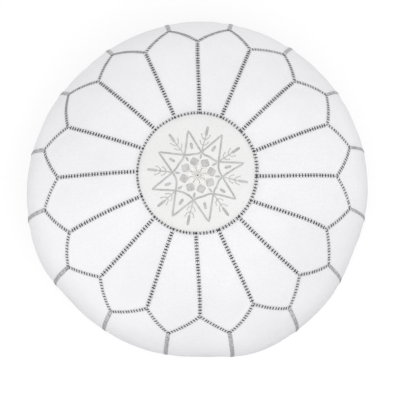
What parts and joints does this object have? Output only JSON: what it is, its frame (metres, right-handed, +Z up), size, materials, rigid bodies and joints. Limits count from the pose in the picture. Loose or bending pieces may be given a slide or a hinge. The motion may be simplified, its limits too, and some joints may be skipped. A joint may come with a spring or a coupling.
{
  "type": "moroccan leather pouf",
  "caption": "Round stuffed leather floor pouf with a stitched petal top, an embroidered medallion, pointed side panels and a zipped base.",
  "frame": {"origin": "where the pouf's axis meets the floor it stands on, which is the middle of the underside", "axes": "+Z up through the medallion, +X along the zip towards its closed end, +Y to the left of the zip"},
  "size_m": [0.517, 0.5103, 0.3327],
  "materials": {
    "white_leather": "smooth, soft sheen",
    "medallion_leather": "smooth, soft sheen",
    "seam_thread": "stitched grey thread",
    "silver_thread": "embroidery thread with a slight sheen",
    "zip_tape": "woven tape",
    "nylon": "satin coil",
    "nickel": "plated, slightly worn",
    "cotton": "plain-woven cotton",
    "fibre": "loose fibre fill"
  },
  "bodies": {
    "pouf": {"medallion": "medallion_leather", "petal_01": "white_leather", "petal_02": "white_leather", "petal_03": "white_leather", "petal_04": "white_leather", "petal_05": "white_leather", "petal_06": "white_leather", "petal_07": "white_leather", "petal_08": "white_leather", "petal_09": "white_leather", "petal_10": "white_leather", "petal_11": "white_leather", "petal_12": "white_leather", "petal_13": "white_leather", "petal_14": "white_leather", "petal_15": "white_leather", "petal_16": "white_leather", "side_panel_01": "white_leather", "side_panel_02": "white_leather", "side_panel_03": "white_leather", "side_panel_04": "white_leather", "side_panel_05": "white_leather", "side_panel_06": "white_leather", "side_panel_07": "white_leather", "side_panel_08": "white_leather", "side_panel_09": "white_leather", "side_panel_10": "white_leather", "side_panel_11": "white_leather", "side_panel_12": "white_leather", "side_panel_13": "white_leather", "side_panel_14": "white_leather", "side_panel_15": "white_leather", "side_panel_16": "white_leather", "base_half_left": "white_leather", "base_half_right": "white_leather", "base_piping": "white_leather", "cover_seams": "seam_thread", "medallion_seam": "seam_thread", "medallion_star": "silver_thread", "zip_tape_left": "zip_tape", "zip_tape_right": "zip_tape", "zip_coil_left": "nylon", "zip_coil_right": "nylon", "zip_top_stop_left": "nickel", "zip_top_stop_right": "nickel", "zip_bottom_stop": "nickel", "inner_bag": "cotton", "stuffing": "fibre"},
    "slider": {"zip_slider": "nickel"},
    "pull": {"zip_pull": "nickel"}
  },
  "joints": [
    {"name": "zip_slide", "type": "slide", "parent": "pouf", "child": "slider", "axis": [-1, 0, 0], "range_m": [0, 0.226]},
    {"name": "pull_swing", "type": "hinge", "parent": "slider", "child": "pull", "pos_m": [0.113, 0, 0.00475], "axis": [0, -1, 0], "range_deg": [0, 165]}
  ]
}
